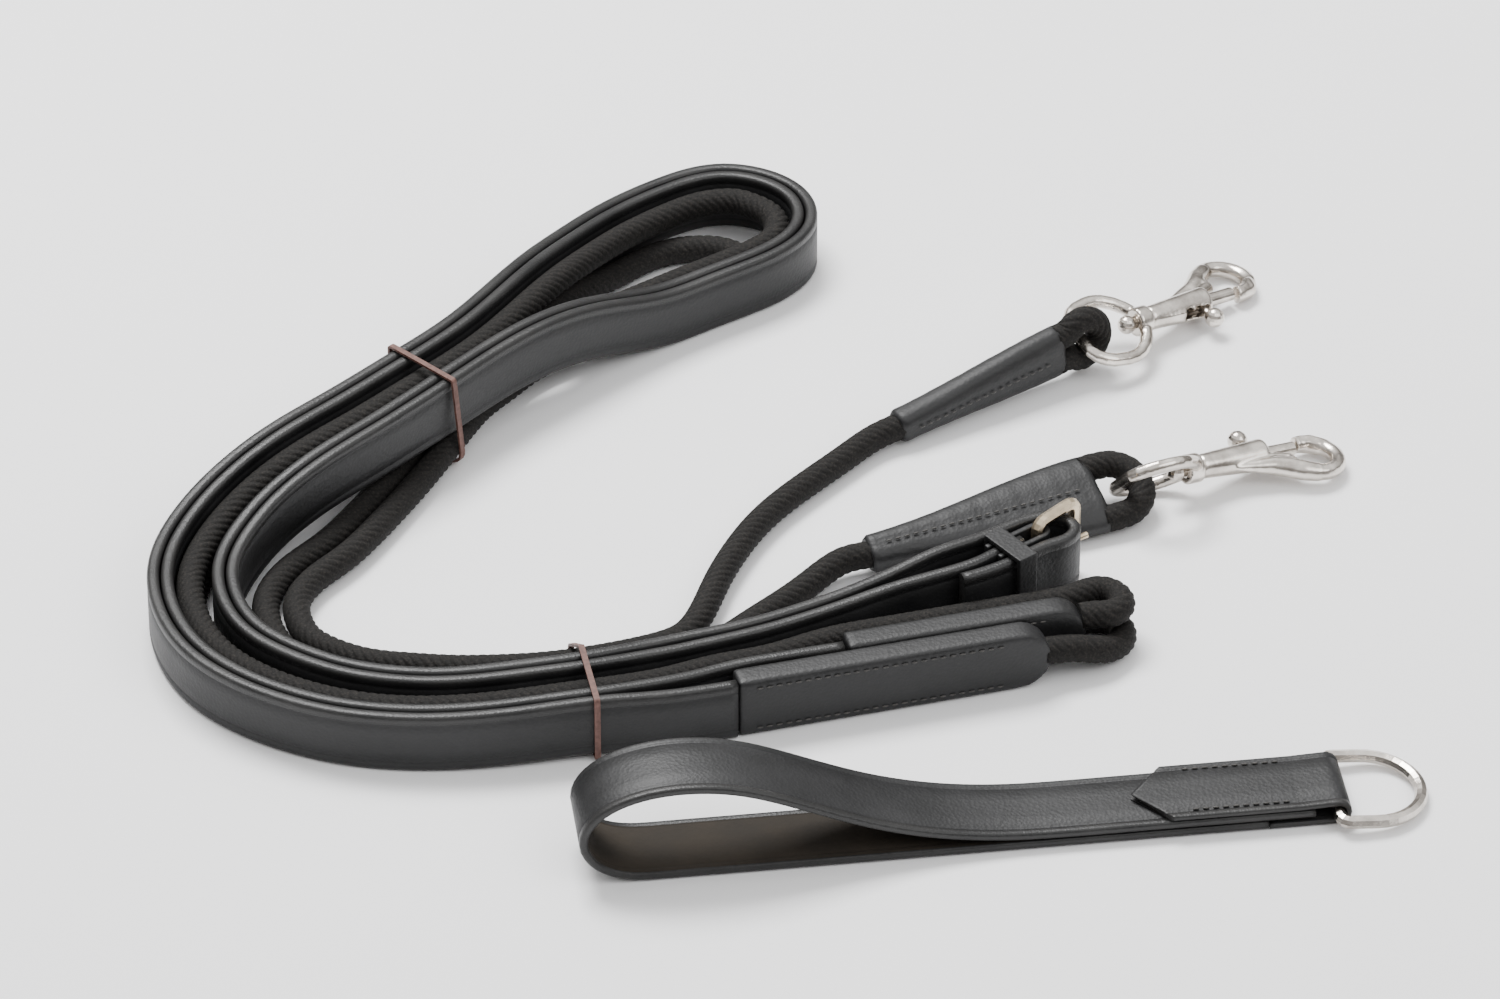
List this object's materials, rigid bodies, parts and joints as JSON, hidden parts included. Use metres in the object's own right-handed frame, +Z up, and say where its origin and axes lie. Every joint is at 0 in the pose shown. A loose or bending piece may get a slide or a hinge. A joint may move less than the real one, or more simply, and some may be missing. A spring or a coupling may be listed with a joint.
{
  "type": "folded draw reins with girth loop",
  "caption": "A pair of black leather and twisted cord draw reins, folded into a banded hank, with swivel bolt snaps, a buckle and a separate girth loop with a D-ring.",
  "frame": {"origin": "centre of the footprint of the pieces other than the cords, on the surface it lies on", "axes": "+X to the right along the longest extent, +Y away from the viewer, +Z up"},
  "size_m": [0.3836, 0.3515, 0.033],
  "materials": {
    "black_leather": "matt black, creased along both edges",
    "girth_leather": "matt black with a dark brown flesh side",
    "twisted_cord": "four-strand twisted cord, brownish black",
    "nickel": "worn warm nickel plate",
    "buckle_brass": "dull plated brass",
    "brown_rubber": "matt brown rubber"
  },
  "bodies": {
    "hank": {"leather_rein_billet": "black_leather", "leather_rein_buckle": "black_leather", "cord_near": "twisted_cord", "cord_far": "twisted_cord", "cord_sleeve_near": "black_leather", "cord_sleeve_far": "black_leather", "snap_sleeve_upper": "black_leather", "snap_sleeve_lower": "black_leather", "cord_loop_upper": "twisted_cord", "cord_loop_lower": "twisted_cord", "buckle_chape": "black_leather", "keeper": "black_leather", "rubber_band_upper": "brown_rubber", "rubber_band_lower": "brown_rubber"},
    "buckle": {"buckle_frame": "buckle_brass"},
    "tongue": {"buckle_tongue": "buckle_brass"},
    "eye_upper": {"snap_eye_upper": "nickel"},
    "snap_upper": {"snap_body_upper": "nickel", "swivel_stem_upper": "nickel"},
    "latch_upper": {"bolt_upper": "nickel"},
    "eye_lower": {"snap_eye_lower": "nickel"},
    "snap_lower": {"snap_body_lower": "nickel", "swivel_stem_lower": "nickel"},
    "latch_lower": {"bolt_lower": "nickel"},
    "girth_loop": {"girth_strap": "girth_leather", "girth_chape": "girth_leather"},
    "ring": {"d_ring": "nickel"}
  },
  "joints": [
    {"name": "eye_hinge_upper", "type": "hinge", "parent": "hank", "child": "eye_upper", "pos_m": [0.0956, 0.086, 0.0126], "axis": [-0.5389, 0.7848, 0.3062], "range_deg": [-60, 40]},
    {"name": "swivel_upper", "type": "hinge", "parent": "eye_upper", "child": "snap_upper", "pos_m": [0.11736, 0.1024, 0.00887], "axis": [0.7912, 0.5962, -0.1357], "continuous": true},
    {"name": "bolt_slide_upper", "type": "slide", "parent": "snap_upper", "child": "latch_upper", "axis": [-0.7912, -0.5962, 0.1357], "range_m": [0, 0.006], "stiffness_N_per_m": 300, "springref_m": -0.002},
    {"name": "eye_hinge_lower", "type": "hinge", "parent": "hank", "child": "eye_lower", "pos_m": [0.10656, 0.00698, 0.0138], "axis": [-0.4179, 0.5174, -0.7468], "range_deg": [0, 40]},
    {"name": "swivel_lower", "type": "hinge", "parent": "eye_lower", "child": "snap_lower", "pos_m": [0.13024, 0.02038, 0.00983], "axis": [0.8612, 0.4873, -0.1444], "continuous": true},
    {"name": "bolt_slide_lower", "type": "slide", "parent": "snap_lower", "child": "latch_lower", "axis": [-0.8612, -0.4873, 0.1444], "range_m": [0, 0.006], "stiffness_N_per_m": 300, "springref_m": -0.002},
    {"name": "buckle_hinge", "type": "hinge", "parent": "hank", "child": "buckle", "pos_m": [0.0784, -0.0326, 0.0145], "axis": [0, 0, 1], "range_deg": [0, 3.5]},
    {"name": "tongue_hinge", "type": "hinge", "parent": "buckle", "child": "tongue", "pos_m": [0.0784, -0.0326, 0.0145], "axis": [0, 0, 1], "range_deg": [-4, 0]},
    {"name": "girth_loose", "type": "slide", "parent": "hank", "child": "girth_loop", "axis": [0, -1, 0], "range_m": [0, 0.06]},
    {"name": "d_ring_hinge", "type": "hinge", "parent": "girth_loop", "child": "ring", "pos_m": [0.16326, -0.1346, 0.0041], "axis": [-0.1318, 0.9913, 0], "range_deg": [-120, 0]}
  ]
}
